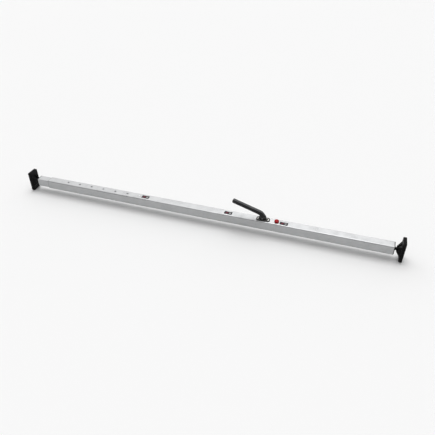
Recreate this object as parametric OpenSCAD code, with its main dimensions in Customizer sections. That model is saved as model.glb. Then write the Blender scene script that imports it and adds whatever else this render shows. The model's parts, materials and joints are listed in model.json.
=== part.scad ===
// Bed cargo bar: a square telescoping tube with a hand lever, a release button and two swivel feet.
// +X runs along the bar to the lever's end, +Y across it to the back, +Z up.
// The origin is midway between the feet, on the plane that the feet stand on.

/* [Overall] */
// Length over both pads with the inner tube pushed in
closed_len = 1626; // [1500:2:1700]
// Height of each rubber pad
pad_h = 88; // [80:1:100]
// Width of each rubber pad
pad_w = 50; // [48:1:60]

/* [Tubes] */
// Outside width of the outer tube
tube_w = 38; // [38:0.1:38.4]
// Wall of the outer tube
tube_wall = 1.8; // [1.6:0.1:1.8]
// Outside corner radius of the outer tube
tube_r = 4; // [3:0.5:5]
// Length of inner tube that shows when pushed in
show_len = 56; // [30:1:80]
// Length of the inner tube
inner_len = 578; // [560:1:700]
// Distance between neighbouring adjusting holes
hole_pitch = 58.5; // [50:0.5:60]
// Distance from the tube's mouth to the first adjusting hole
first_hole = 94.5; // [80:0.5:110]

/* [Lever] */
// Distance from the middle of the bar to the lever's pivot
lever_x = 272; // [200:1:300]
// Length of the straight part of the grip
grip_len = 124; // [100:1:130]
// Thickness of the grip
grip_t = 16; // [14:0.5:18]
// Angle of the grip above the bar
grip_tilt = 17.5; // [16:0.5:19]

/* [Button] */
// Diameter of the release button
button_d = 18; // [14:0.5:18]
// Distance from the lever's pivot to the button
button_gap = 54; // [54:0.5:56]

/* [Labels] */
// Length of each sticker
label_len = 33; // [20:1:36]
// Width of each sticker
label_w = 18; // [10:1:20]

/* [Hidden] */
$fn = 64;

run_fit = 0.05;        // radial clearance of a pin that turns
slide_fit = 0.1;       // clearance of a sliding face
eps = 0.01;            // lets a cutter pass a face
half_len = closed_len / 2;
axis_z = pad_h / 2;
top_z = axis_z + tube_w / 2;
bottom_z = axis_z - tube_w / 2;
bore_w = tube_w - 2 * tube_wall;
floor_z = bottom_z + tube_wall;
roof_z = top_z - tube_wall;

// feet
pad_t = 12.5;
plate_t = 4;
plate_inset = 2;
boss_deep = 15.5;
boss_base = [48, 40];
boss_tip = [16, 16];
pin_back = 8;
foot_pin_d = 6;
eye_t = 8;
eye_r = 7;
eye_reach = 14;         // from the pin to the end of the eye's flat sides
shank_gap = 11;         // from the pin to the start of the round shank
neck_d = 12;
bracket_slot = eye_t + 0.4;
pad_screw_gap = 54;
plate_x = half_len - pad_t - 0.5;
foot_pin_x = plate_x - pin_back;

// left end
mouth_x = -foot_pin_x + 19 + show_len;
inner_w = bore_w - 1.6;
inner_wall = 1.6;
inner_x = mouth_x - show_len;
lip_t = 1.5;
bush_len = 30;
tail_len = 28;
tail_lip = 2;
plug_len = 32;
flange_t = 3;
plug_screw_x = [inner_x + 8, inner_x + 22];
end_screw_d = 3;
end_hole_d = 4.2;
snap_d = 7.8;
snap_flange_d = 12;
snap_flange_t = 1.6;
snap_flange_z = axis_z + inner_w / 2 - inner_wall - snap_flange_t - slide_fit;
snap_dome_r = 6;
seat_t = 2;
snap_x = mouth_x + first_hole + 6 * hole_pitch;
hole_d = 8.4;

// right end
cap_face_x = foot_pin_x - 15;
tube_end_x = cap_face_x - flange_t;
cap_len = 30;
cap_screw_x = [tube_end_x - 8, tube_end_x - 22];

// lever mechanism
pivot_z = axis_z + 6;
pin_d = 8;
module_mm = 2.2;
teeth = 10;
pressure = 25;
backlash = 0.12;
pitch_r = module_mm * teeth / 2;
pitch_z = pivot_z - pitch_r;
tooth_step = PI * module_mm;
rack_add = 0.85 * module_mm;
tooth_ded = 1.25 * module_mm;
rack_top = pitch_z + rack_add;
rack_low = 32;
rack_w = 12;
rack_x0 = lever_x - 30;
rack_x1 = lever_x + 103;
cheek_t = 3;
cheek_gap = 8.4;
sector_w = 8;
cheek_out = cheek_gap / 2 + cheek_t;
hub_r = 8.5;
slot_x0 = lever_x - 27;
slot_x1 = lever_x + 24.5;
slot_mid = (slot_x0 + slot_x1) / 2;
slot_len = slot_x1 - slot_x0;
slot_w = 22.6;
slot_r = 7.5;
bezel_rim = 3.4;
bezel_rise = 2.4;
bezel_lip = 2;
swing_x0 = lever_x - 21.2;
swing_x1 = lever_x + 18.2;
elbow = [lever_x - 11.5, pivot_z + 41.5];
neck = [lever_x - 2, pivot_z + 28.5];
rivet_x = 5.5;
rivet_z = pivot_z + 7.5;
rivet_d = 3;
window_x = lever_x - 4.4;
window_z = pivot_z + 17;
window_d = 6.4;
window_rise = 2;
sector_top = pivot_z + 24;
grip_end = [elbow.x - grip_len * cos(grip_tilt), elbow.y + grip_len * sin(grip_tilt)];

// frame
frame_x0 = lever_x - 36;
frame_x1 = lever_x + 73;
frame_w = bore_w - 0.2;
frame_wall = 2.5;
frame_floor = axis_z - frame_w / 2;
frame_floor_t = 2.15;
frame_top = roof_z - 3;
frame_screw_x = [frame_x0 + 12, frame_x1 - 12];
frame_screw_d = 4;

// button and lock
button_x = lever_x + button_gap;
lock_x = button_x - 12;
lock_z = pivot_z - 3;
lock_pin_d = 5;
lock_t = 4;
lock_tilt = 9.55;
lock_hub_d = 9;
lock_tab = [17, 16, 3.5];
lock_side = 9.6;        // the plate stops here, short of its spring
tab_top = lock_z + lock_tab.z;
stem_d = 5;
stem_z = tab_top + 0.15;
clip_z = tab_top + 2.6;
clip_t = 0.7;
clip_bore = 3.7;
cup_z = tab_top + 3.4;
cup_floor = 1.2;
button_low = cup_z + cup_floor + 2.7;
button_top = top_z + 6;
button_dome = 1.4;
button_dome_r = 30;
pocket_deep = 5;
pocket_r = [4.6, 6.4];  // inside and outside of the spring's pocket
guide_plate = [24, 31];
lock_mid = (rack_low + rack_top) / 2;
lock_arm = (lock_z - lock_mid) / cos(lock_tilt);
lock_foot = 2;
lock_hole = (rack_top - rack_low + 0.1 + lock_t * sin(lock_tilt)) / cos(lock_tilt);

// slider
slider_x0 = lever_x + 90;
slider_len = 30;
slider_w = bore_w - 0.6;
rod_x0 = slider_x0 + 16;
slider_pin_d = 4;
rack_pin_x = slider_x0 + 6.5;
rod_pin_x = slider_x0 + 23;

// ---- helpers ----

// A square section w wide with corners of radius r, run along the bar's axis
module bar_x(x0, x1, w, r) {
    translate([x0, 0, axis_z]) rotate([90, 0, 90]) linear_extrude(x1 - x0) rounded(w, w, r);
}

module rounded(w, h, r) {
    union() {
        square([w - 2 * r, h], center = true);
        square([w, h - 2 * r], center = true);
        for (sx = [-1, 1], sy = [-1, 1])
            translate([sx * (w / 2 - r), sy * (h / 2 - r)]) circle(r);
    }
}

module round_x(x0, x1, d, z = axis_z) {
    translate([x0, 0, z]) rotate([0, 90, 0]) cylinder(d = d, h = x1 - x0);
}

module pin_y(x, z, d, length) {
    translate([x, length / 2, z]) rotate([90, 0, 0]) cylinder(d = d, h = length);
}

// A screw that points up from the outer face of its head, with a hexagon socket
module screw(head_d, head_t, d, length) {
    difference() {
        union() {
            cylinder(d = head_d, h = head_t);
            cylinder(d = d, h = length);
        }
        translate([0, 0, -eps]) cylinder(d = 0.55 * head_d, h = min(1.6, 0.75 * head_t), $fn = 6);
    }
}

// An outline drawn in X and Z, as thick as w across the bar
module side_plate(w) {
    translate([0, w / 2, 0]) rotate([90, 0, 0]) linear_extrude(w) children();
}

module mirrored(side) {
    if (side < 0) mirror([1, 0, 0]) children();
    else children();
}

// A closed coil of round wire that stands on z = 0
module coil(r, wire, turns, height) {
    sides = 8;
    steps = 24;
    last = turns * steps;
    points = [for (i = [0 : last], k = [0 : sides - 1])
        let (a = 360 * i / steps, b = 360 * k / sides, q = r + wire / 2 * cos(b))
        [q * cos(a), q * sin(a), wire / 2 * (1 + sin(b)) + (height - wire) * i / last]];
    walls = [for (i = [0 : last - 1], k = [0 : sides - 1])
        let (n = (k + 1) % sides)
        [i * sides + k, i * sides + n, (i + 1) * sides + n, (i + 1) * sides + k]];
    first = [for (k = [sides - 1 : -1 : 0]) k];
    final = [for (k = [0 : sides - 1]) last * sides + k];
    polyhedron(points, concat(walls, [first, final]), convexity = 10);
}

// Tooth flank of the sector: an involute from its base circle
function inv(a) = tan(a) * 180 / PI - a;
function involute(base, r) = inv(acos(min(1, base / r)));
function tooth_half(base, r) =
    90 / teeth - backlash / 4 / pitch_r * 180 / PI + inv(pressure) - involute(base, r);

module sector_tooth() {
    base = pitch_r * cos(pressure);
    root = pitch_r - tooth_ded;
    tip = pitch_r + 0.9 * module_mm;
    radii = [for (i = [0 : 6]) base + (tip - base) * i / 6];
    low = tooth_half(base, base);
    side_a = [for (r = radii) [r * sin(-tooth_half(base, r)), -r * cos(tooth_half(base, r))]];
    side_b = [for (i = [6 : -1 : 0]) let (r = radii[i])
        [r * sin(tooth_half(base, r)), -r * cos(tooth_half(base, r))]];
    polygon(concat([[(root - 1) * sin(-low), -(root - 1) * cos(low)]], side_a, side_b,
        [[(root - 1) * sin(low), -(root - 1) * cos(low)]]));
}

// ---- tubes ----

module outer_tube() {
    color("silver") difference() {
        bar_x(mouth_x, tube_end_x, tube_w, tube_r);
        bar_x(mouth_x - eps, tube_end_x + eps, bore_w, tube_r - tube_wall);
        for (i = [0 : 6])
            translate([mouth_x + first_hole + i * hole_pitch, 0, roof_z - 1])
                cylinder(d = hole_d, h = tube_wall + 2);
        translate([slot_mid, 0, roof_z - 1])
            linear_extrude(tube_wall + 2) rounded(slot_len, slot_w, slot_r);
        translate([button_x, 0, roof_z - 1]) cylinder(d = button_d + 1, h = tube_wall + 2);
        for (x = frame_screw_x) screw_hole(x, frame_screw_d + 1.2);
        for (x = cap_screw_x) screw_hole(x, end_hole_d);
    }
}

// Hole through the tube's bottom wall
module screw_hole(x, d) {
    translate([x, 0, bottom_z - 1]) cylinder(d = d, h = tube_wall + 2);
}

module mouth_bush() {
    color("dimgray") difference() {
        union() {
            bar_x(mouth_x, mouth_x + bush_len, bore_w - 0.1, tube_r - tube_wall);
            bar_x(mouth_x - lip_t, mouth_x, tube_w - 0.8, tube_r - 0.4);
        }
        bar_x(mouth_x - lip_t - eps, mouth_x + bush_len + eps, inner_w + 2 * slide_fit, 1.6);
    }
}

module inner_tube() {
    color("silver") difference() {
        bar_x(inner_x, inner_x + inner_len, inner_w, 1.5);
        bar_x(inner_x - eps, inner_x + inner_len + eps, inner_w - 2 * inner_wall, 0.6);
        translate([snap_x, 0, axis_z]) cylinder(d = snap_d + 0.2, h = inner_w);
        for (x = plug_screw_x)
            translate([x, 0, axis_z - inner_w]) cylinder(d = end_hole_d, h = inner_w);
    }
}

module tail_bush() {
    end_x = inner_x + inner_len;
    color("dimgray") difference() {
        bar_x(end_x - tail_len, end_x + tail_lip, bore_w - 2 * slide_fit, tube_r - tube_wall);
        bar_x(end_x - tail_len - eps, end_x, inner_w + 0.05, 1.5);
        bar_x(end_x - 1, end_x + tail_lip + eps, inner_w - 2 * inner_wall, 0.6);
    }
}

// ---- snap button ----

module snap_button() {
    color("dimgray") translate([snap_x, 0, 0]) union() {
        translate([0, 0, snap_flange_z]) cylinder(d = snap_flange_d, h = snap_flange_t);
        translate([0, 0, snap_flange_z]) cylinder(d = snap_d, h = top_z + 0.2 - snap_flange_z);
        intersection() {
            translate([0, 0, top_z]) cylinder(d = snap_d, h = 3);
            translate([0, 0, top_z + 1.6 - snap_dome_r]) sphere(snap_dome_r);
        }
    }
}

module snap_spring() {
    low = axis_z - inner_w / 2 + inner_wall + seat_t;
    color("silver") translate([snap_x, 0, low + 0.05])
        coil(r = 4.4, wire = 1, turns = 8, height = snap_flange_z - low - 0.1);
}

module spring_seat() {
    color("dimgray") translate([snap_x, 0, axis_z - inner_w / 2 + inner_wall]) union() {
        cylinder(d = 16, h = seat_t);
        cylinder(d = 7, h = 3 * seat_t);
    }
}

// ---- left end ----

module left_end_plug() {
    body_w = inner_w - 2 * inner_wall - 0.1;
    color("dimgray") difference() {
        union() {
            bar_x(inner_x, inner_x + plug_len, body_w, 0.6);
            bar_x(inner_x - flange_t, inner_x, inner_w, 1.5);
        }
        round_x(inner_x - flange_t - eps, inner_x + plug_len + eps, neck_d);
        for (x = plug_screw_x)
            translate([x, 0, axis_z - body_w / 2 - eps]) cylinder(d = end_screw_d, h = 7);
    }
}

module plug_screws() {
    color("dimgray") for (x = plug_screw_x)
        translate([x, 0, axis_z - inner_w / 2 + 0.05])
            screw(head_d = 4, head_t = inner_wall - 0.1, d = end_screw_d, length = 6);
}

module eye(side) {
    side_x = side * foot_pin_x;
    difference() {
        union() {
            side_plate(eye_t) translate([side_x, axis_z]) circle(eye_r);
            intersection() {
                round_x(side_x - eye_reach, side_x + eye_reach, neck_d);
                translate([side_x - (side > 0 ? eye_reach : 0), -eye_t / 2, axis_z - neck_d])
                    cube([eye_reach, eye_t, 2 * neck_d]);
            }
        }
        pin_y(side_x, axis_z, foot_pin_d + 2 * run_fit, 30);
    }
}

module left_eye_bolt() {
    color("dimgray") union() {
        eye(-1);
        round_x(-foot_pin_x + shank_gap, inner_x + plug_len + 4, neck_d);
    }
}

// ---- feet ----

module foot_bracket(side) {
    color("black") mirrored(side) difference() {
        union() {
            translate([plate_x, 0, axis_z]) rotate([90, 0, 90]) linear_extrude(plate_t)
                rounded(pad_w - 2 * plate_inset, pad_h - 2 * plate_inset, 4);
            hull() {
                translate([plate_x, 0, axis_z])
                    cube([1, boss_base[1], boss_base[0]], center = true);
                translate([plate_x - boss_deep + 0.5, 0, axis_z])
                    cube([1, boss_tip[1], boss_tip[0]], center = true);
            }
        }
        translate([plate_x - boss_deep - 1, -bracket_slot / 2, axis_z - pad_h / 2])
            cube([boss_deep + 1, bracket_slot, pad_h]);
        pin_y(foot_pin_x, axis_z, foot_pin_d, pad_w);
        for (s = [-1, 1])
            round_x(plate_x - 12, plate_x + plate_t + 1, 4.2, axis_z + s * pad_screw_gap / 2);
    }
}

module foot_pad(side) {
    color("black") mirrored(side) difference() {
        translate([plate_x + 0.5, 0, axis_z]) rotate([90, 0, 90]) linear_extrude(pad_t)
            rounded(pad_w, pad_h, 5);
        translate([plate_x - eps, 0, axis_z]) rotate([90, 0, 90]) linear_extrude(plate_t + eps)
            rounded(pad_w - 2 * plate_inset, pad_h - 2 * plate_inset, 4);
        for (s = [-1, 1]) {
            round_x(plate_x, half_len + 1, 4.4, axis_z + s * pad_screw_gap / 2);
            round_x(half_len - 5, half_len + 1, 9.4, axis_z + s * pad_screw_gap / 2);
        }
    }
}

module foot_pin(side) {
    length = 2 * (boss_tip[1] / 2 + (boss_base[1] - boss_tip[1]) / 2 * (1 - pin_back / boss_deep)) - 4;
    color("silver") pin_y(side * foot_pin_x, axis_z, foot_pin_d, length);
}

module pad_screws(side) {
    color("dimgray") mirrored(side) for (s = [-1, 1])
        translate([half_len - 2.4, 0, axis_z + s * pad_screw_gap / 2]) rotate([0, -90, 0])
            screw(head_d = 9.2, head_t = 2.6, d = 4.2, length = pad_t - 2.9);
}

module left_foot_bracket() { foot_bracket(-1); }
module left_foot_pad() { foot_pad(-1); }
module left_foot_pin() { foot_pin(-1); }
module left_pad_screws() { pad_screws(-1); }
module right_foot_bracket() { foot_bracket(1); }
module right_foot_pad() { foot_pad(1); }
module right_foot_pin() { foot_pin(1); }
module right_pad_screws() { pad_screws(1); }

// ---- right end and push rod ----

module end_cap() {
    color("dimgray") difference() {
        union() {
            bar_x(tube_end_x - cap_len, tube_end_x, bore_w - 0.1, tube_r - tube_wall);
            bar_x(tube_end_x, cap_face_x, tube_w, tube_r + 1);
        }
        round_x(tube_end_x - cap_len - 1, cap_face_x + 1, neck_d + 0.16);
        for (x = cap_screw_x) translate([x, 0, floor_z - eps]) cylinder(d = end_screw_d, h = 7);
    }
}

module cap_screws() {
    color("dimgray") for (x = cap_screw_x) translate([x, 0, bottom_z + 0.2])
        screw(head_d = 4, head_t = tube_wall - 0.2, d = end_screw_d, length = 7);
}

module push_rod() {
    color("dimgray") difference() {
        union() {
            eye(1);
            round_x(rod_x0, foot_pin_x - shank_gap, neck_d);
        }
        pin_y(rod_pin_x, axis_z, slider_pin_d, 20);
    }
}

module slider_block() {
    color("gainsboro") difference() {
        bar_x(slider_x0, slider_x0 + slider_len, slider_w, 2);
        translate([slider_x0 - eps, -rack_w / 2 - 0.05, rack_low - 0.05])
            cube([13.1, rack_w + 0.1, rack_top - rack_low + 0.1]);
        round_x(rod_x0 - 0.1, slider_x0 + slider_len + 1, neck_d + 0.04);
        pin_y(rack_pin_x, lock_mid, slider_pin_d, tube_w);
        pin_y(rod_pin_x, axis_z, slider_pin_d, tube_w);
    }
}

module slider_pins() {
    color("silver") union() {
        pin_y(rack_pin_x, lock_mid, slider_pin_d, 30);
        pin_y(rod_pin_x, axis_z, slider_pin_d, 30);
    }
}

// Tooth gap of the rack, a trapezium that is cut from its top
module rack_gap() {
    at_pitch = tooth_step / 4 + backlash / 4;
    lean = tan(pressure);
    polygon([
        [-at_pitch + lean * tooth_ded, -tooth_ded],
        [at_pitch - lean * tooth_ded, -tooth_ded],
        [at_pitch + lean * (rack_add + 1), rack_add + 1],
        [-at_pitch - lean * (rack_add + 1), rack_add + 1]
    ]);
}

module rack_bar() {
    color("silver") difference() {
        translate([rack_x0, -rack_w / 2, rack_low])
            cube([rack_x1 - rack_x0, rack_w, rack_top - rack_low]);
        side_plate(2 * rack_w) for (i = [-3 : 3])
            translate([lever_x + i * tooth_step, pitch_z]) rack_gap();
        pin_y(rack_pin_x, lock_mid, slider_pin_d, 20);
    }
}

module rack_guide() {
    low = frame_floor + frame_floor_t;
    color("gainsboro") translate([rack_x0 + 6, -8, low])
        cube([48, 16, rack_low - low - slide_fit]);
}

// ---- mechanism ----

module mechanism_frame() {
    color("gray") difference() {
        bar_x(frame_x0, frame_x1, frame_w, tube_r - tube_wall + slide_fit);
        translate([frame_x0 - 1, -tube_w / 2, frame_top])
            cube([frame_x1 - frame_x0 + 2, tube_w, tube_w]);
        translate([frame_x0 - 1, -frame_w / 2 + frame_wall, frame_floor + frame_floor_t])
            cube([frame_x1 - frame_x0 + 2, frame_w - 2 * frame_wall, tube_w]);
        pin_y(lever_x, pivot_z, pin_d, tube_w);
        pin_y(lock_x, lock_z, lock_pin_d, tube_w);
        for (x = frame_screw_x)
            translate([x, 0, frame_floor - 1]) cylinder(d = frame_screw_d, h = frame_floor_t + 2);
    }
}

module frame_screws() {
    color("dimgray") for (x = frame_screw_x) translate([x, 0, bottom_z + 0.2])
        screw(head_d = 5, head_t = tube_wall - 0.2, d = frame_screw_d,
            length = tube_wall + frame_floor_t - 0.4);
}

module lever_pin() {
    color("silver") pin_y(lever_x, pivot_z, pin_d, bore_w - 0.4);
}

// Side of the lever's cheek: a splayed web from the hub up into the grip
module cheek_web() {
    polygon([
        [lever_x - hub_r, pivot_z],
        [lever_x - 14, pivot_z + 10],
        [lever_x - 16, pivot_z + 15],
        [lever_x - 16, pivot_z + 32],
        [elbow.x - 2, elbow.y + 0.5],
        [elbow.x + 3, elbow.y + 3.5],
        [neck.x + 3.5, neck.y + 6.5],
        [lever_x + 9.5, pivot_z + 26],
        [lever_x + 9.5, pivot_z + 10],
        [lever_x + hub_r, pivot_z]
    ]);
}

module cheek_outline() {
    difference() {
        union() {
            translate([lever_x, pivot_z]) circle(hub_r);
            cheek_web();
        }
        translate([lever_x, pivot_z]) circle(d = pin_d + 2 * run_fit);
        for (rise = [0, window_rise]) translate([window_x, window_z + rise]) circle(d = window_d);
        translate([window_x - window_d / 2, window_z]) square([window_d, window_rise]);
        for (s = [-1, 1]) translate([lever_x + rivet_x * s, rivet_z]) circle(d = rivet_d);
    }
}

module lever_arm() {
    color("dimgray") union() {
        for (s = [-1, 1]) translate([0, s * (cheek_gap + cheek_t) / 2, 0])
            side_plate(cheek_t) cheek_outline();
        side_plate(cheek_gap + 1) polygon([
            [lever_x - 14, pivot_z + 32],
            [elbow.x - 1, elbow.y],
            [elbow.x + 3, elbow.y + 2.5],
            [neck.x + 3, neck.y + 1],
            [neck.x + 4, neck.y - 3],
            [neck.x - 6, neck.y - 3]
        ]);
    }
}

module grip_round(place) {
    translate([place.x, 0, place.y]) side_plate(grip_t) circle(grip_t / 2, $fn = 32);
}

module lever_grip() {
    bend = grip_t / 2;
    color("dimgray") difference() {
        union() {
            hull() {
                grip_round([grip_end.x + bend, grip_end.y - bend * sin(grip_tilt)]);
                grip_round(elbow);
            }
            hull() {
                grip_round(elbow);
                grip_round(neck);
            }
        }
        side_plate(2 * cheek_out + 0.1) offset(delta = 0.3) cheek_web();
    }
}

module drive_sector() {
    color("silver") difference() {
        union() {
            pin_y(lever_x, pivot_z, 2 * (pitch_r - tooth_ded), sector_w);
            for (i = [-2 : 2])
                translate([lever_x, 0, pivot_z]) rotate([0, -i * 360 / teeth, 0])
                    side_plate(sector_w) sector_tooth();
            side_plate(sector_w) polygon([
                [lever_x - 7, pivot_z],
                [lever_x - 8, pivot_z + 10.5],
                [lever_x - 9.5, sector_top],
                [lever_x + 2, sector_top],
                [lever_x + 8, pivot_z + 10.5],
                [lever_x + 7, pivot_z]
            ]);
        }
        pin_y(lever_x, pivot_z, pin_d + 2 * run_fit, 2 * sector_w);
        for (s = [-1, 1]) pin_y(lever_x + rivet_x * s, rivet_z, rivet_d, 2 * sector_w);
    }
}

module sector_rivets() {
    color("silver") for (s = [-1, 1]) pin_y(lever_x + rivet_x * s, rivet_z, rivet_d, 2 * cheek_out);
}

module lever_spring() {
    color("silver") translate([lever_x, -cheek_out - 0.5, pivot_z]) rotate([90, 0, 0])
        coil(r = 5.6, wire = 1.2, turns = 4, height = 5.6);
}

module lever_bezel() {
    color("black") difference() {
        union() {
            translate([slot_mid, 0, top_z]) linear_extrude(bezel_rise)
                rounded(slot_len + bezel_rim, slot_w + bezel_rim, slot_r + 1.5);
            translate([slot_mid, 0, roof_z - 0.5]) linear_extrude(tube_wall + 1)
                rounded(slot_len - 0.2, slot_w - 0.2, slot_r - 0.1);
        }
        translate([slot_mid, 0, roof_z - 1]) linear_extrude(6)
            rounded(slot_len - 2 * bezel_lip, slot_w - 2 * bezel_lip, slot_r - 1.5);
    }
}

// Pale guide inside the bezel, with a slot that the cheeks swing in
module slot_liner() {
    color("gainsboro") difference() {
        union() {
            translate([slot_mid, 0, roof_z - 0.6]) linear_extrude(tube_wall + 1.8)
                rounded(slot_len - 2 * bezel_lip - 0.1, slot_w - 2 * bezel_lip - 0.1, slot_r - 1.6);
            translate([slot_mid, 0, roof_z - 1.9]) linear_extrude(1.35)
                rounded(slot_len - 1, slot_w - 1, slot_r - 1);
        }
        translate([swing_x0, -cheek_out - 0.4, roof_z - 3])
            cube([swing_x1 - swing_x0, 2 * cheek_out + 0.8, 8]);
    }
}

// ---- release button and lock ----

module release_button() {
    color("firebrick") translate([button_x, 0, 0]) difference() {
        union() {
            translate([0, 0, button_low]) cylinder(d = button_d, h = button_top - button_low);
            intersection() {
                translate([0, 0, button_top - eps]) cylinder(d = button_d, h = 3);
                translate([0, 0, button_top + button_dome - button_dome_r])
                    sphere(button_dome_r, $fn = 128);
            }
            translate([0, 0, stem_z + stem_d / 2])
                cylinder(d = stem_d, h = button_low - stem_z);
            translate([0, 0, stem_z + stem_d / 2]) sphere(stem_d / 2);
        }
        translate([0, 0, button_low - eps]) difference() {
            cylinder(r = pocket_r[1], h = pocket_deep);
            cylinder(r = pocket_r[0], h = pocket_deep);
        }
        translate([0, 0, clip_z - slide_fit / 2]) difference() {
            cylinder(d = stem_d + 2, h = clip_t + slide_fit);
            cylinder(d = clip_bore - slide_fit, h = clip_t + slide_fit);
        }
    }
}

// Cup that the button slides in, with a plate between the frame's walls and the tube's roof
module button_guide() {
    color("dimgray") translate([button_x, 0, 0]) difference() {
        union() {
            translate([0, 0, cup_z]) cylinder(d = button_d + 3, h = roof_z - slide_fit - cup_z);
            translate([-guide_plate.x / 2, -guide_plate.y / 2, frame_top + slide_fit])
                cube([guide_plate.x, guide_plate.y, roof_z - frame_top - 2 * slide_fit]);
        }
        translate([0, 0, cup_z + cup_floor]) cylinder(d = button_d + 0.2, h = 20);
        translate([0, 0, cup_z - 1]) cylinder(d = stem_d + 0.2, h = 4);
    }
}

module button_spring() {
    low = cup_z + cup_floor + 0.05;
    color("silver") translate([button_x, 0, low])
        coil(r = 5.5, wire = 0.7, turns = 4, height = button_low + pocket_deep - low - slide_fit);
}

module button_clip() {
    color("silver") translate([button_x, 0, clip_z]) difference() {
        cylinder(d = 9, h = clip_t);
        translate([0, 0, -eps]) cylinder(d = clip_bore, h = 1);
        translate([0, -clip_bore / 2, -eps]) cube([6, clip_bore, 1]);
    }
}

module lock_plate() {
    span = frame_w - 2 * frame_wall - 0.6;
    color("gray") translate([lock_x, 0, lock_z]) rotate([0, -lock_tilt, 0]) difference() {
        union() {
            translate([-lock_t / 2, -span / 2, -lock_arm - lock_hole / 2 - lock_foot])
                cube([lock_t, span, lock_arm + lock_hole / 2 + lock_foot]);
            rotate([0, lock_tilt, 0]) translate([0, -lock_tab.y / 2, 0]) cube(lock_tab);
            pin_y(0, 0, lock_hub_d, span);
        }
        translate([-10, -rack_w / 2 - 0.15, -lock_arm - lock_hole / 2])
            cube([20, rack_w + 0.3, lock_hole]);
        pin_y(0, 0, lock_pin_d + 2 * run_fit, 2 * span);
        translate([-span, lock_side, -lock_hub_d / 2 - 0.5]) cube([2 * span, span, lock_hub_d + 3]);
    }
}

module lock_pin() {
    color("silver") pin_y(lock_x, lock_z, lock_pin_d, bore_w - 0.4);
}

module lock_spring() {
    color("silver") translate([lock_x, 13.4, lock_z]) rotate([90, 0, 0])
        coil(r = 3.4, wire = 0.8, turns = 3, height = 3.4);
}

// ---- stickers ----

module label(x, y) {
    color("black") translate([x, y, top_z]) linear_extrude(0.3) rounded(label_len, label_w, 1.5);
}

module label_left() { label(snap_x + 27, 0); }
module label_middle() { label(lever_x - 146.5, -1.5); }
module label_right() { label(button_x + 29.5, -4); }

outer_tube();
mouth_bush();
inner_tube();
tail_bush();
snap_button();
snap_spring();
spring_seat();
left_end_plug();
plug_screws();
left_eye_bolt();
left_foot_bracket();
left_foot_pad();
left_foot_pin();
left_pad_screws();
right_foot_bracket();
right_foot_pad();
right_foot_pin();
right_pad_screws();
end_cap();
cap_screws();
push_rod();
slider_block();
slider_pins();
rack_bar();
rack_guide();
mechanism_frame();
frame_screws();
lever_pin();
lever_arm();
lever_grip();
drive_sector();
sector_rivets();
lever_spring();
lever_bezel();
slot_liner();
release_button();
button_guide();
button_spring();
button_clip();
lock_plate();
lock_pin();
lock_spring();
label_left();
label_middle();
label_right();
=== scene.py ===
"""Bed cargo bar: finishes, rubber and moulded pieces, stickers, light and camera around the CAD frame."""

import json
import math

import bmesh
import bpy
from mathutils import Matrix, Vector
from mathutils.geometry import interpolate_bezier


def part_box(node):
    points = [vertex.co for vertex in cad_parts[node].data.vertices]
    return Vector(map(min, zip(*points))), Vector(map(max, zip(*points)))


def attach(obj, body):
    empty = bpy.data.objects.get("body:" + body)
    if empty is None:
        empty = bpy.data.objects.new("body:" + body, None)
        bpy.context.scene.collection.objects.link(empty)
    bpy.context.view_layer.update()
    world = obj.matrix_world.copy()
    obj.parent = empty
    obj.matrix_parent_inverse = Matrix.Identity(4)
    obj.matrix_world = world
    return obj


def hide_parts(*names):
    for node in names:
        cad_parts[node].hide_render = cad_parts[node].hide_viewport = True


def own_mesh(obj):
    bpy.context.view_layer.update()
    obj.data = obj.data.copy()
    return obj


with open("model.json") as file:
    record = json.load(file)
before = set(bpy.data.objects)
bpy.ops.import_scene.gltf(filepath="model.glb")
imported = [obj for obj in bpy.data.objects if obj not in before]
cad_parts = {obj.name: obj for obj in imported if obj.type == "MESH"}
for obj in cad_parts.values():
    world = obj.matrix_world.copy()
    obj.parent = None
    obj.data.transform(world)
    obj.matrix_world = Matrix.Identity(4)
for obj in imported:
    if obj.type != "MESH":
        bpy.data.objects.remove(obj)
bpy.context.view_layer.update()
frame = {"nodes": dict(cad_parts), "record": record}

MM = 0.001
NODES = frame["nodes"]

# Pads: corner and edge radii, and the sipes that cross each face
PAD_CORNER = 5 * MM
PAD_EDGE = 1.4 * MM
SIPE_DEEP = 1.3 * MM
SIPE_HALF = 0.9 * MM
SIPE_GAP = 5.6 * MM
SIPE_COUNT = 15
# Section of a sipe as (offset in half widths, share of its depth)
SIPE_SECTION = ((-1.5, 0), (-0.9, 0.75), (-0.45, 1), (0.45, 1), (0.9, 0.75), (1.5, 0))
WELL_DEEP = 5 * MM
WELL_GAP = 0.2 * MM
PAST_FACE = 5 * MM      # how far a cutter stands past the face it cuts

# Grip: the elbow seen from the neck, its bend, and how its section changes
ELBOW_UP = Vector((-9.5, 0, 13)) * MM
BEND_REACH = 8 * MM
BEND_PULL_IN = 5.5 * MM
BEND_PULL_OUT = 5 * MM
TIP_R = 5 * MM
NECK_GAP = 1 * MM
WAIST = 0.5 * MM
SIDE_INSET = 0.2 * MM
GRIP_R = 3.6 * MM
GRIP_R_LOSS = 0.8 * MM
# Lip at the grip's lower end as (share of its length, set back in millimetres)
LIP = ((0, 0), (0.32, 0), (0.4, -0.5), (0.8, -0.5), (0.92, 0.1), (1, 1.2))

SEATED = 0.7            # part of a turn that lies flat at each end of a spring
STICKER_R = 1.5 * MM
STICKER_EDGE = 0.08 * MM

# Light: strengths, directions towards each light, and angles in degrees
WORLD_POWER = 0.36
BACKDROP = 0.93         # what the camera sees past the floor
GLOW_POWER = 1.38
GLOW_FROM = (-0.36, 0.74, 0.58)
GLOW_EDGE = 62          # degrees from the glow's middle to its outer edge
GLOW_CORE = 28
KEY_POWER = 1.2
KEY_SPREAD = 40
KEY_FROM = (-0.05, 0.3, 1)

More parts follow.
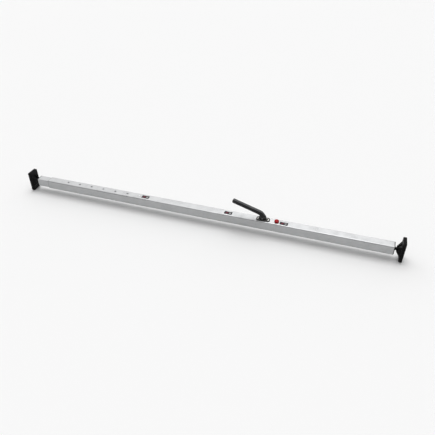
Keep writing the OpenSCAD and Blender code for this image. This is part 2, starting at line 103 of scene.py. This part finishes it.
# Camera: degrees round the bar and above it, metres, and the lens in millimetres
VIEW_AZIMUTH = 18
VIEW_ELEVATION = 36.5
VIEW_DISTANCE = 1.92
VIEW_LENS = 38.3
VIEW_AIM = (0.079, 0, 0.028)


# ---- materials ----


class Shader:
    """A Principled material in object coordinates. Each method adds nodes and returns an output."""

    def __init__(self, name):
        self.material = bpy.data.materials.new(name)
        self.material.use_nodes = True
        self.tree = self.material.node_tree
        self.tree.nodes.clear()
        self.bsdf = self.add("ShaderNodeBsdfPrincipled")
        self.add("ShaderNodeOutputMaterial", {"Surface": self.bsdf.outputs[0]})
        self.place = self.add("ShaderNodeTexCoord").outputs["Object"]

    def add(self, kind, inputs=None, **settings):
        node = self.tree.nodes.new(kind)
        for key, value in settings.items():
            setattr(node, key, value)
        for key, value in (inputs or {}).items():
            self.put(node.inputs[key], value)
        return node

    def put(self, socket, value):
        if isinstance(value, bpy.types.NodeSocket):
            self.tree.links.new(value, socket)
        elif socket.type == "RGBA":
            socket.default_value = (*value, 1)
        else:
            socket.default_value = value

    def set(self, **values):
        for key, value in values.items():
            self.put(self.bsdf.inputs[key.replace("_", " ")], value)

    def stretched(self, scale):
        return self.add("ShaderNodeMapping", {"Vector": self.place, "Scale": scale}).outputs[0]

    def noise(self, scale, detail=4, stretch=(1, 1, 1)):
        node = self.add(
            "ShaderNodeTexNoise",
            {"Vector": self.stretched(stretch), "Scale": scale, "Detail": detail},
        )
        return node.outputs[0]

    def cells(self, scale, feature="F1"):
        node = self.add(
            "ShaderNodeTexVoronoi", {"Vector": self.place, "Scale": scale}, feature=feature
        )
        return node.outputs[0]

    def math(self, operation, a, b):
        node = self.add("ShaderNodeMath", operation=operation)
        self.put(node.inputs[0], a)
        self.put(node.inputs[1], b)
        return node.outputs[0]

    def span(self, value, low, high, to_low, to_high, smooth=True):
        """Maps value from low..high to to_low..to_high, and holds it there outside."""
        node = self.add(
            "ShaderNodeMapRange",
            {
                "Value": value,
                "From Min": low,
                "From Max": high,
                "To Min": to_low,
                "To Max": to_high,
            },
            interpolation_type="SMOOTHSTEP" if smooth else "LINEAR",
        )
        return node.outputs[0]

    def blend(self, share, a, b):
        node = self.add("ShaderNodeMix", data_type="RGBA")
        self.put(node.inputs[0], share)
        self.put(node.inputs[6], a)
        self.put(node.inputs[7], b)
        return node.outputs[2]

    def facing_up(self):
        """1 on faces that look up at rest, 0 on the sides and below."""
        normal = self.add("ShaderNodeTexCoord").outputs["Normal"]
        split = self.add("ShaderNodeSeparateXYZ", {"Vector": normal})
        return self.span(split.outputs[2], 0.45, 0.9, 0, 1)

    def edges(self, radius):
        """1 along edges that stick out or in within radius, 0 on open faces."""
        soft = self.add("ShaderNodeBevel", {"Radius": radius}, samples=4).outputs[0]
        true = self.add("ShaderNodeNewGeometry").outputs["Normal"]
        node = self.add("ShaderNodeVectorMath", operation="DOT_PRODUCT")
        self.put(node.inputs[0], soft)
        self.put(node.inputs[1], true)
        return self.span(node.outputs["Value"], 0.985, 0.9, 0, 1)

    def bump(self, height, depth, normal=None):
        inputs = {"Height": height, "Strength": 1.0, "Distance": depth}
        if normal is not None:
            inputs["Normal"] = normal
        return self.add("ShaderNodeBump", inputs).outputs[0]


def tube_finish():
    """Extruded aluminium: lines along the tube, soft mottling and a few handling marks."""
    s = Shader("tube_aluminium")
    lines = s.noise(1, 5, (4, 1400, 1400))
    mottle = s.noise(28, 5)
    marks = s.span(s.noise(1, 3, (45, 420, 420)), 0.66, 0.76, 0, 1)
    tone = s.blend(s.span(mottle, 0.3, 0.7, 0, 1), (0.425, 0.43, 0.435), (0.475, 0.48, 0.485))
    tone = s.blend(s.math("MULTIPLY", marks, 0.35), tone, (0.6, 0.605, 0.61))
    rough = s.math("ADD", s.span(lines, 0.3, 0.7, 0.27, 0.4), s.span(mottle, 0.3, 0.7, -0.03, 0.05))
    s.set(Base_Color=tone, Metallic=1.0, Roughness=rough, Anisotropic=0.5)
    s.set(Tangent=s.add("ShaderNodeTangent", direction_type="RADIAL", axis="X").outputs[0])
    s.set(Normal=s.bump(lines, 0.00002, s.bump(mottle, 0.00006)))
    return s.material


def steel_finish(name, metallic, polished, dull):
    """Zinc plated steel with a faint crystal bloom and a haze from polished to dull."""
    s = Shader(name)
    bloom = s.cells(260)
    haze = s.noise(90, 5)
    tone = s.blend(s.span(bloom, 0.2, 0.8, 0, 1), (0.5, 0.51, 0.53), (0.66, 0.66, 0.65))
    s.set(Base_Color=tone, Metallic=metallic, Roughness=s.span(haze, 0.3, 0.7, polished, dull))
    s.set(Normal=s.bump(haze, 0.00004))
    return s.material


def powder_finish(name, dark, light, specular):
    """Powder coat: orange peel, chalky patches and edges rubbed a little lighter."""
    s = Shader(name)
    peel = s.noise(1500, 3)
    patch = s.noise(55, 5)
    tone = s.blend(s.span(patch, 0.42, 0.66, 0, 1), dark, light)
    tone = s.blend(s.math("MULTIPLY", s.edges(0.0012), 0.35), tone, (0.07, 0.07, 0.074))
    s.set(Base_Color=tone, Roughness=s.span(patch, 0.35, 0.7, 0.34, 0.52), Specular_IOR_Level=specular)
    s.set(Normal=s.bump(peel, 0.00008))
    return s.material


def grip_finish():
    """Moulded grip: a fine pebble grain, with painted light: greyer on top and darker on the sides."""
    s = Shader("grip_moulded")
    pebble = s.cells(1100, "SMOOTH_F1")
    rub = s.noise(38, 4)
    # Painted light: the side tone is painted shade and the top tone is a painted lit top, blended by
    # facing_up.
    side = s.blend(s.span(rub, 0.35, 0.7, 0, 1), (0.005, 0.0052, 0.006), (0.01, 0.0103, 0.011))
    top = s.blend(s.span(rub, 0.35, 0.7, 0, 1), (0.05, 0.051, 0.053), (0.078, 0.079, 0.081))
    tone = s.blend(s.facing_up(), side, top)
    tone = s.blend(s.math("MULTIPLY", s.edges(0.002), 0.3), tone, (0.055, 0.055, 0.058))
    s.set(Base_Color=tone, Roughness=s.span(rub, 0.3, 0.7, 0.36, 0.48), Specular_IOR_Level=0.26)
    s.set(Normal=s.bump(pebble, 0.00025))
    return s.material


def plastic_finish(name, dark, light, rough, specular=0.3):
    """Moulded plastic with a fine spark-eroded grain."""
    s = Shader(name)
    fine = s.noise(1300, 3)
    cloud = s.noise(70, 4)
    tone = s.blend(s.span(cloud, 0.35, 0.68, 0, 1), dark, light)
    s.set(Base_Color=tone, Roughness=s.span(cloud, 0.3, 0.7, rough - 0.07, rough + 0.08))
    s.set(Specular_IOR_Level=specular)
    s.set(Normal=s.bump(fine, 0.00006))
    return s.material


def rubber_finish():
    """Matt rubber: fine pores, a dusty bloom and scuffed edges."""
    s = Shader("pad_rubber")
    pores = s.noise(2100, 4)
    dust = s.noise(60, 6)
    tone = s.blend(s.span(dust, 0.45, 0.72, 0, 1), (0.005, 0.005, 0.0055), (0.016, 0.0156, 0.0152))
    tone = s.blend(s.math("MULTIPLY", s.edges(0.0015), 0.4), tone, (0.05, 0.049, 0.047))
    s.set(Base_Color=tone, Roughness=s.span(dust, 0.3, 0.7, 0.66, 0.84), Specular_IOR_Level=0.1)
    s.set(Normal=s.bump(pores, 0.00018, s.bump(dust, 0.0002)))
    return s.material


def sticker_finish(length, width):
    """A plain printed sticker: dark ground, a slanted dark red field and a light block."""
    s = Shader("printed_vinyl")
    split = s.add("ShaderNodeSeparateXYZ", {"Vector": s.place})
    u = s.math("DIVIDE", split.outputs[0], length / 2)
    v = s.math("DIVIDE", split.outputs[1], width / 2)
    slant = s.math("SUBTRACT", u, s.math("MULTIPLY", v, 0.16))
    soft = 0.02

    def between(value, low, high):
        rise = s.span(value, low - soft, low + soft, 0, 1)
        fall = s.span(value, high - soft, high + soft, 1, 0)
        return s.math("MULTIPLY", rise, fall)

    red = s.math("MULTIPLY", between(slant, -0.6, -0.08), between(v, -0.62, 0.62))
    block = s.math("MULTIPLY", between(slant, 0.2, 0.68), between(v, -0.3, 0.36))
    stripe = s.math("MULTIPLY", between(slant, -0.82, -0.7), between(v, -0.62, 0.62))
    cloud = s.noise(240, 4)
    ground = s.blend(cloud, (0.01, 0.01, 0.012), (0.02, 0.018, 0.022))
    tone = s.blend(red, ground, (0.13, 0.008, 0.022))
    tone = s.blend(stripe, tone, (0.06, 0.055, 0.06))
    tone = s.blend(block, tone, (0.5, 0.49, 0.48))
    s.set(Base_Color=tone, Roughness=s.span(cloud, 0.3, 0.7, 0.34, 0.46), Specular_IOR_Level=0.15)
    s.set(Normal=s.bump(cloud, 0.00003))
    return s.material


# ---- shapes ----


def rounded_ring(half_a, half_b, radius, steps=7):
    """Points round a rectangle with rounded corners, anticlockwise, as (a, b) pairs."""
    points = []
    for quarter in range(4):
        turn = quarter * math.pi / 2
        sign_a = 1 if quarter in (0, 3) else -1
        sign_b = 1 if quarter in (0, 1) else -1
        for step in range(steps + 1):
            angle = turn + step / steps * math.pi / 2
            points.append(
                (
                    sign_a * (half_a - radius) + radius * math.cos(angle),
                    sign_b * (half_b - radius) + radius * math.sin(angle),
                )
            )
    return points


def circle(radius, count):
    """Points round a circle, anticlockwise, as (a, b) pairs."""
    angles = [2 * math.pi * k / count for k in range(count)]
    return [(radius * math.cos(angle), radius * math.sin(angle)) for angle in angles]


def loft(name, rings):
    """A closed mesh through rings that have the same number of points."""
    count = len(rings[0])
    points = [p for ring in rings for p in ring]
    faces = []
    for i in range(len(rings) - 1):
        for k in range(count):
            n = (k + 1) % count
            low, high = i * count, (i + 1) * count
            faces.append((low + k, low + n, high + n, high + k))
    faces.append(tuple(range(count - 1, -1, -1)))
    last = (len(rings) - 1) * count
    faces.append(tuple(range(last, last + count)))
    mesh = bpy.data.meshes.new(name)
    mesh.from_pydata(points, [], faces)
    outward(mesh)
    piece = bpy.data.objects.new(name, mesh)
    bpy.context.scene.collection.objects.link(piece)
    return piece


def outward(mesh):
    work = bmesh.new()
    work.from_mesh(mesh)
    bmesh.ops.recalc_face_normals(work, faces=work.faces)
    work.to_mesh(mesh)
    work.free()


def carve(piece, cutters):
    """Takes the cutters out of the piece and removes them from the scene."""
    for cutter in cutters:
        cut = piece.modifiers.new("cut", "BOOLEAN")
        cut.operation = "DIFFERENCE"
        cut.solver = "EXACT"
        cut.object = cutter
    bake(piece)
    for cutter in cutters:
        bpy.data.objects.remove(cutter)


def bake(piece):
    """Replaces the piece's mesh with the result of its modifiers."""
    graph = bpy.context.evaluated_depsgraph_get()
    mesh = bpy.data.meshes.new_from_object(piece.evaluated_get(graph))
    piece.modifiers.clear()
    piece.data = mesh


def smooth(piece, angle=35):
    """Smooth shading with the edges sharper than angle kept."""
    for face in piece.data.polygons:
        face.use_smooth = True
    piece.data.set_sharp_from_angle(angle=math.radians(angle))


def finish_piece(piece, material, body, slot, *replaced):
    piece.data.materials.clear()
    piece.data.materials.append(material)
    smooth(piece)
    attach(piece, body)
    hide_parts(*replaced)
    return piece


def ease(node, width, segments=2):
    """Breaks the sharp edges of a CAD node, as a cast or moulded part has them."""
    piece = NODES[node]
    weld = piece.modifiers.new("weld", "WELD")
    weld.merge_threshold = 0.005 * MM
    bevel = piece.modifiers.new("ease", "BEVEL")
    bevel.width = width
    bevel.segments = segments
    bevel.limit_method = "ANGLE"
    bevel.angle_limit = math.radians(28)
    bevel.use_clamp_overlap = True
    piece.modifiers.new("shade", "WEIGHTED_NORMAL")


# ---- rubber pads ----


def pad_levels(half_z):
    """Heights of the pad's rings from its middle, each with how far the face is set back there."""
    bends = [PAD_CORNER * (1 - math.cos(step / 8 * math.pi / 2)) for step in range(1, 9)]
    levels = {round(bend - half_z, 6): 0 for bend in bends}
    for index in range(SIPE_COUNT):
        z = (index - (SIPE_COUNT - 1) / 2) * SIPE_GAP
        for offset, share in SIPE_SECTION:
            levels[round(z + offset * SIPE_HALF, 6)] = share * SIPE_DEEP
    levels.update({round(-z, 6): deep for z, deep in list(levels.items()) if deep == 0})
    inner = half_z - PAD_EDGE - 0.1 * MM
    return [(z, levels[z]) for z in sorted(levels) if abs(z) < inner]


def pad(side, material):
    """A moulded pad: rounded slab with sipes across its face, a pocket for the plate, two screw wells."""
    low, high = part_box(f"{side}_foot_pad")
    sign, face_x, back_x = (1, high.x, low.x) if side == "right" else (-1, low.x, high.x)
    half_y = (high.y - low.y) / 2
    half_z = (high.z - low.z) / 2
    mid_z = (low.z + high.z) / 2

    def half_width(z):
        past = abs(z) - (half_z - PAD_CORNER)
        if past <= 0:
            return half_y
        return half_y - PAD_CORNER + math.sqrt(max(PAD_CORNER**2 - past**2, 0))

    def section(z, depth, narrow):
        """One level ring of the pad: its face set back by depth, its sides by narrow."""
        wide = max(half_width(z) - narrow, PAD_EDGE * 1.05)
        front = face_x - sign * depth
        back = back_x + sign * narrow
        mid_x, half_x = (front + back) / 2, abs(front - back) / 2
        return [Vector((mid_x + a, b, mid_z + z)) for a, b in rounded_ring(half_x, wide, PAD_EDGE, 4)]

    turns = [step / 6 * math.pi / 2 for step in range(7)]
    rims = [(PAD_EDGE * (1 - math.cos(a)) - half_z, PAD_EDGE * (1 - math.sin(a))) for a in turns]
    rings = [section(z, set_back, set_back) for z, set_back in rims]
    rings += [section(z, depth, 0) for z, depth in pad_levels(half_z)]
    rings += [section(-z, set_back, set_back) for z, set_back in reversed(rims)]
    piece = loft(f"{side}_pad_rubber", rings)
    carve(piece, pad_cutters(side, sign, face_x, back_x, mid_z))
    return finish_piece(piece, material, f"{side}_foot", "rubber", f"{side}_foot_pad")


def pad_cutters(side, sign, face_x, back_x, mid_z):
    """The space of the bracket's plate, and a well for the head of each screw."""
    low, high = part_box(f"{side}_foot_bracket")
    plate_x = high.x if sign > 0 else low.x
    outline = rounded_ring((high.y - low.y) / 2, (high.z - low.z) / 2, 4 * MM)
    spans = (back_x - sign * PAST_FACE, plate_x)
    cutters = [loft("pocket", [[Vector((x, a, mid_z + b)) for a, b in outline] for x in spans])]

    low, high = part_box(f"{side}_pad_screws")
    head_r = (high.y - low.y) / 2
    reach = (high.z - low.z) / 2 - head_r
    well_r = head_r + WELL_GAP
    spans = (face_x - sign * WELL_DEEP, face_x + sign * PAST_FACE)
    for centre in (mid_z - reach, mid_z + reach):
        well = [[Vector((x, a, centre + b)) for a, b in circle(well_r, 40)] for x in spans]
        cutters.append(loft("well", well))
    return cutters


# ---- lever grip ----


def grip_path(low, high, half):
    """Points along the grip's middle line as (place, direction, how much thinner it is there)."""
    tip = Vector((low.x + half, 0, high.z - half))
    neck = Vector((high.x - half, 0, low.z + half))
    elbow = neck + ELBOW_UP
    along = (elbow - tip).normalized()
    down = (neck - elbow).normalized()
    start = tip - along * half
    bend_in = elbow - along * BEND_REACH
    bend_out = elbow + down * BEND_REACH
    bend = interpolate_bezier(
        bend_in, bend_in + along * BEND_PULL_IN, bend_out - down * BEND_PULL_OUT, bend_out, 16
    )
    path = []
    for angle in [step / 8 * math.pi / 2 for step in range(9)]:
        path.append((start + along * TIP_R * (1 - math.cos(angle)), along, TIP_R * (1 - math.sin(angle))))
    straight = (bend_in - start).length - TIP_R
    for step in range(1, 24):
        path.append((start + along * (TIP_R + straight * step / 24), along, 0))
    for i, place in enumerate(bend):
        before, after = bend[max(i - 1, 0)], bend[min(i + 1, len(bend) - 1)]
        path.append((place, (after - before).normalized(), 0))
    begin = bend_out + down * NECK_GAP
    reach = (neck + down * NECK_GAP - begin).length
    for share, set_back in LIP:
        path.append((begin + down * reach * share, down, set_back * MM))
    return path


def grip(material):
    """The moulded handle: rounded tip, straight shank, a bend at the elbow and a lip round the cheeks."""
    low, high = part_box("lever_grip")
    half = (high.y - low.y) / 2
    path = grip_path(low, high, half)
    rings = []
    for index, (place, tangent, set_back) in enumerate(path):
        share = index / (len(path) - 1)
        up = Vector((-tangent.z, 0, tangent.x))
        thick = half - WAIST * math.sin(math.pi * min(share * 1.4, 1)) - set_back
        wide = half - SIDE_INSET - set_back
        radius = min(GRIP_R - GRIP_R_LOSS * share, thick * 0.98, wide * 0.98)
        ring = rounded_ring(wide, thick, max(radius, 0.2 * MM), 6)
        rings.append([place + Vector((0, a, 0)) + up * b for a, b in ring])
    piece = loft("grip_moulding", rings)
    return finish_piece(piece, material, "lever", "grip", "lever_grip")


# ---- springs ----


def spring(name, node, body, turns, wire, material):
    """A coil with closed ends in its CAD node's place."""
    low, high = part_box(node)
    middle = (low + high) / 2
    height = high.z - low.z
    wire_r = wire / 2
    radius = (high.x - low.x) / 2 - wire_r
    pitch_rise = height - wire - SEATED * wire
    section = circle(wire_r, 12)
    rings = []
    for step in range(turns * 32 + 1):
        turn = step / 32
        start = min(turn, SEATED)
        finish = max(turn - turns + SEATED, 0)
        climb = min(max((turn - SEATED) / (turns - 2 * SEATED), 0), 1)
        z = low.z + wire_r + (start + finish) * wire_r + climb * pitch_rise
        angle = turn * 2 * math.pi
        out = Vector((math.cos(angle), math.sin(angle), 0))
        centre = Vector((middle.x, middle.y, z)) + out * radius
        rings.append([centre + out * a + Vector((0, 0, b)) for a, b in section])
    piece = finish_piece(loft(name, rings), material, body, "steel", node)
    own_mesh(piece)


# ---- stickers ----


def sticker(place, material):
    node = f"label_{place}"
    low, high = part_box(node)
    centre = (low + high) / 2
    half = (high - low) / 2
    rings = []
    for z, set_back in ((-half.z, 0), (half.z - STICKER_EDGE, 0), (half.z, STICKER_EDGE)):
        ring = rounded_ring(half.x - set_back, half.y - set_back, STICKER_R - set_back)
        rings.append([Vector((a, b, z)) for a, b in ring])
    piece = loft(f"sticker_{place}", rings)
    piece.location = centre
    return finish_piece(piece, material, "bar", "sticker", node)


# ---- stage ----


def floor():
    mesh = bpy.data.meshes.new("floor")
    reach = 30
    corners = [(-reach, -reach, 0), (reach, -reach, 0), (reach, reach, 0), (-reach, reach, 0)]
    mesh.from_pydata(corners, [], [(0, 1, 2, 3)])
    plane = bpy.data.objects.new("floor", mesh)
    bpy.context.scene.collection.objects.link(plane)
    s = Shader("floor_white")
    s.set(Base_Color=(0.9, 0.9, 0.9), Roughness=0.9, Specular_IOR_Level=0.1)
    mesh.materials.append(s.material)


def studio():
    """A wide soft light behind the bar and one overhead, with a plain backdrop for the camera."""
    scene = bpy.context.scene
    scene.view_settings.view_transform = "Standard"
    world = bpy.data.worlds.new("studio")
    scene.world = world
    world.use_nodes = True
    tree = world.node_tree
    place = tree.nodes.new("ShaderNodeTexCoord")
    toward = tree.nodes.new("ShaderNodeVectorMath")
    toward.operation = "DOT_PRODUCT"
    toward.inputs[1].default_value = Vector(GLOW_FROM).normalized()
    glow = tree.nodes.new("ShaderNodeMapRange")
    glow.interpolation_type = "SMOOTHSTEP"
    glow.inputs["From Min"].default_value = math.cos(math.radians(GLOW_EDGE))
    glow.inputs["From Max"].default_value = math.cos(math.radians(GLOW_CORE))
    glow.inputs["To Min"].default_value = WORLD_POWER
    glow.inputs["To Max"].default_value = GLOW_POWER
    seen = tree.nodes.new("ShaderNodeLightPath")
    strength = tree.nodes.new("ShaderNodeMix")
    strength.inputs[3].default_value = BACKDROP
    background = tree.nodes["Background"]
    background.inputs["Color"].default_value = (1, 1, 1, 1)
    tree.links.new(place.outputs["Generated"], toward.inputs[0])
    tree.links.new(toward.outputs["Value"], glow.inputs["Value"])
    tree.links.new(seen.outputs["Is Camera Ray"], strength.inputs[0])
    tree.links.new(glow.outputs[0], strength.inputs[2])
    tree.links.new(strength.outputs[0], background.inputs["Strength"])
    lamp = bpy.data.lights.new("key", "SUN")
    lamp.energy = KEY_POWER
    lamp.angle = math.radians(KEY_SPREAD)
    key = bpy.data.objects.new("key", lamp)
    key.rotation_euler = Vector(KEY_FROM).to_track_quat("Z", "Y").to_euler()
    scene.collection.objects.link(key)


def camera():
    az, el = math.radians(VIEW_AZIMUTH), math.radians(VIEW_ELEVATION)
    back = Vector((math.sin(az) * math.cos(el), -math.cos(az) * math.cos(el), math.sin(el)))
    lens = bpy.data.cameras.new("camera")
    lens.lens = VIEW_LENS
    eye = bpy.data.objects.new("camera", lens)
    eye.location = Vector(VIEW_AIM) + back * VIEW_DISTANCE
    eye.rotation_euler = back.to_track_quat("Z", "Y").to_euler()
    bpy.context.scene.collection.objects.link(eye)
    bpy.context.scene.camera = eye


# One finish for each material slot of the record
label_low, label_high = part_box("label_left")
FINISHES = {
    "tube": tube_finish(),
    "steel": steel_finish("zinc_steel", 1.0, 0.26, 0.46),
    "black_steel": powder_finish(
        "black_powder_coat", (0.003, 0.003, 0.0033), (0.009, 0.009, 0.0095), 0.09),
    "grip": grip_finish(),
    "black_plastic": plastic_finish(
        "black_plastic", (0.008, 0.008, 0.009), (0.02, 0.02, 0.022), 0.45),
    "nylon": plastic_finish("nylon", (0.72, 0.71, 0.66), (0.82, 0.81, 0.77), 0.4),
    "rubber": rubber_finish(),
    "red_plastic": plastic_finish(
        "red_plastic", (0.3, 0.005, 0.01), (0.4, 0.009, 0.015), 0.4, 0.1),
    "sticker": sticker_finish(label_high.x - label_low.x, label_high.y - label_low.y),
}

for part in frame["record"]["subparts"]:
    part_mesh = NODES[part["node"]].data
    part_mesh.materials.clear()
    part_mesh.materials.append(FINISHES[part["material_slot"]])

# Nodes whose finish differs from the rest of their slot
# The lever coat is a lighter copy of the black powder coat: a painted highlight on the lever arm and the
# foot pins.
lever_painted_highlight_coat = powder_finish("lever_powder_coat_painted_highlight", (0.016, 0.016, 0.017), (0.034, 0.034, 0.035), 0.3)
cap_plastic = plastic_finish("cap_plastic", (0.003, 0.003, 0.003), (0.007, 0.007, 0.0075), 0.6, 0.05)
SPECIAL = {
    "lever_arm": lever_painted_highlight_coat,
    "left_foot_pin": lever_painted_highlight_coat,
    "right_foot_pin": lever_painted_highlight_coat,
    "drive_sector": steel_finish("blasted_steel", 0.35, 0.5, 0.68),
    "end_cap": cap_plastic,
    "mouth_bush": cap_plastic,
    "left_end_plug": cap_plastic,
}
for node, material in SPECIAL.items():
    NODES[node].data.materials[0] = material

for side in ("left", "right"):
    pad(side, FINISHES["rubber"])
    ease(f"{side}_foot_bracket", 0.9 * MM, 3)
grip(FINISHES["grip"])
for place in ("left", "middle", "right"):
    sticker(place, FINISHES["sticker"])
spring("button_coil", "button_spring", "bar", 4, 0.7 * MM, FINISHES["steel"])
spring("snap_coil", "snap_spring", "extension", 8, 1.0 * MM, FINISHES["steel"])
for node, width in (("lever_bezel", 0.7), ("release_button", 0.7), ("end_cap", 0.8)):
    ease(node, width * MM, 3)
for node, width in (("lever_arm", 0.5), ("left_end_plug", 0.5), ("mouth_bush", 0.4)):
    ease(node, width * MM)

floor()
studio()
camera()
